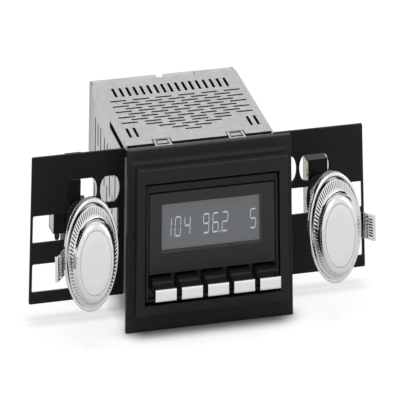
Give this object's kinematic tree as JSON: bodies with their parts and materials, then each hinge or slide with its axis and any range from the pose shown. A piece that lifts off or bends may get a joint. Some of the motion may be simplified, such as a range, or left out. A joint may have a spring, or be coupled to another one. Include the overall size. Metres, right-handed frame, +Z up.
{
  "type": "car radio",
  "caption": "Dashboard radio with two chrome shaft controls, a display, push keys and a vented steel chassis on slotted side brackets.",
  "frame": {"origin": "on the plane of the bezel's lower edge, below the middle of the whole radio", "axes": "+X to the right as seen from the front, +Y rearwards along the shafts, +Z up"},
  "size_m": [0.236, 0.182, 0.06],
  "materials": {
    "bezel_black": "fine satin black moulding",
    "panel_black": "smoked grey, soft gloss",
    "lens_clear": "clear, lightly smoked",
    "lcd_grey": "mid grey display glass",
    "white_plastic": "plain white moulding",
    "key_black": "polished black",
    "cap_chrome": "bright plated",
    "circuit_board": "green lacquer",
    "component_black": "moulded black",
    "zinc_steel": "zinc plated",
    "chassis_steel": "galvanised sheet, satin",
    "brass": "plain turned brass",
    "tin_can": "tinned sheet",
    "capacitor_sleeve": "dark blue sleeve",
    "ribbon_grey": "grey flat cable",
    "sink_aluminium": "plain extruded",
    "bracket_black": "satin black oxide",
    "control_black": "moulded black",
    "knob_chrome": "mirror plated",
    "disc_brushed": "fine spun silver"
  },
  "bodies": {
    "radio": {"bezel": "bezel_black", "fascia": "bezel_black", "nose_housing": "bezel_black", "window_panel": "panel_black", "window_lens": "lens_clear", "lcd_panel": "lcd_grey", "light_box": "white_plastic", "display_board": "circuit_board", "key_switches": "component_black", "inner_screws": "zinc_steel", "front_frame": "chassis_steel", "chassis_tray": "chassis_steel", "top_cover": "chassis_steel", "rear_panel": "chassis_steel", "cover_screws": "zinc_steel", "main_board": "circuit_board", "board_standoffs": "brass", "tuner_module": "tin_can", "amplifier_chip": "component_black", "capacitors": "capacitor_sleeve", "ribbon_cable": "ribbon_grey", "heat_sink": "sink_aluminium", "antenna_socket": "zinc_steel", "harness_socket": "component_black", "line_out_sockets": "white_plastic", "rear_nut": "zinc_steel", "rear_stud": "zinc_steel", "left_bracket": "bracket_black", "right_bracket": "bracket_black", "bracket_screws": "zinc_steel", "left_control": "control_black", "right_control": "control_black", "left_control_board": "control_black", "right_control_board": "control_black", "left_bush": "brass", "right_bush": "brass", "shaft_nuts": "zinc_steel"},
    "key_1": {"preset_key_1": "key_black", "preset_cap_1": "cap_chrome"},
    "key_2": {"preset_key_2": "key_black", "preset_cap_2": "cap_chrome"},
    "key_3": {"preset_key_3": "key_black", "preset_cap_3": "cap_chrome"},
    "key_4": {"preset_key_4": "key_black", "preset_cap_4": "cap_chrome"},
    "key_5": {"preset_key_5": "key_black", "preset_cap_5": "cap_chrome"},
    "left_ring_lever": {"left_ring": "knob_chrome", "left_outer_shaft": "brass"},
    "left_plunger": {"left_push_slider": "white_plastic"},
    "left_knob_shaft": {"left_inner_shaft": "zinc_steel", "left_knob": "knob_chrome", "left_knob_disc": "disc_brushed"},
    "right_ring_lever": {"right_ring": "knob_chrome", "right_outer_shaft": "brass"},
    "right_plunger": {"right_push_slider": "white_plastic"},
    "right_knob_shaft": {"right_inner_shaft": "zinc_steel", "right_knob": "knob_chrome", "right_knob_disc": "disc_brushed"}
  },
  "joints": [
    {"name": "key_1_press", "type": "slide", "parent": "radio", "child": "key_1", "axis": [0, 1, 0], "range_m": [0, 0.0015], "stiffness_N_per_m": 500},
    {"name": "key_2_press", "type": "slide", "parent": "radio", "child": "key_2", "axis": [0, 1, 0], "range_m": [0, 0.0015], "stiffness_N_per_m": 500},
    {"name": "key_3_press", "type": "slide", "parent": "radio", "child": "key_3", "axis": [0, 1, 0], "range_m": [0, 0.0015], "stiffness_N_per_m": 500},
    {"name": "key_4_press", "type": "slide", "parent": "radio", "child": "key_4", "axis": [0, 1, 0], "range_m": [0, 0.0015], "stiffness_N_per_m": 500},
    {"name": "key_5_press", "type": "slide", "parent": "radio", "child": "key_5", "axis": [0, 1, 0], "range_m": [0, 0.0015], "stiffness_N_per_m": 500},
    {"name": "left_ring_turn", "type": "hinge", "parent": "radio", "child": "left_ring_lever", "pos_m": [-0.0852, -0.0649, 0.03], "axis": [0, 1, 0], "range_deg": [-20, 20], "stiffness_Nm_per_rad": 0.15},
    {"name": "left_knob_push", "type": "slide", "parent": "radio", "child": "left_plunger", "axis": [0, 1, 0], "range_m": [0, 0.0008], "stiffness_N_per_m": 1500},
    {"name": "left_knob_turn", "type": "hinge", "parent": "left_plunger", "child": "left_knob_shaft", "pos_m": [-0.0852, -0.0649, 0.03], "axis": [0, 1, 0], "continuous": true},
    {"name": "right_ring_turn", "type": "hinge", "parent": "radio", "child": "right_ring_lever", "pos_m": [0.0852, -0.0649, 0.03], "axis": [0, 1, 0], "range_deg": [-20, 20], "stiffness_Nm_per_rad": 0.15},
    {"name": "right_knob_push", "type": "slide", "parent": "radio", "child": "right_plunger", "axis": [0, 1, 0], "range_m": [0, 0.0008], "stiffness_N_per_m": 1500},
    {"name": "right_knob_turn", "type": "hinge", "parent": "right_plunger", "child": "right_knob_shaft", "pos_m": [0.0852, -0.0649, 0.03], "axis": [0, 1, 0], "continuous": true}
  ]
}
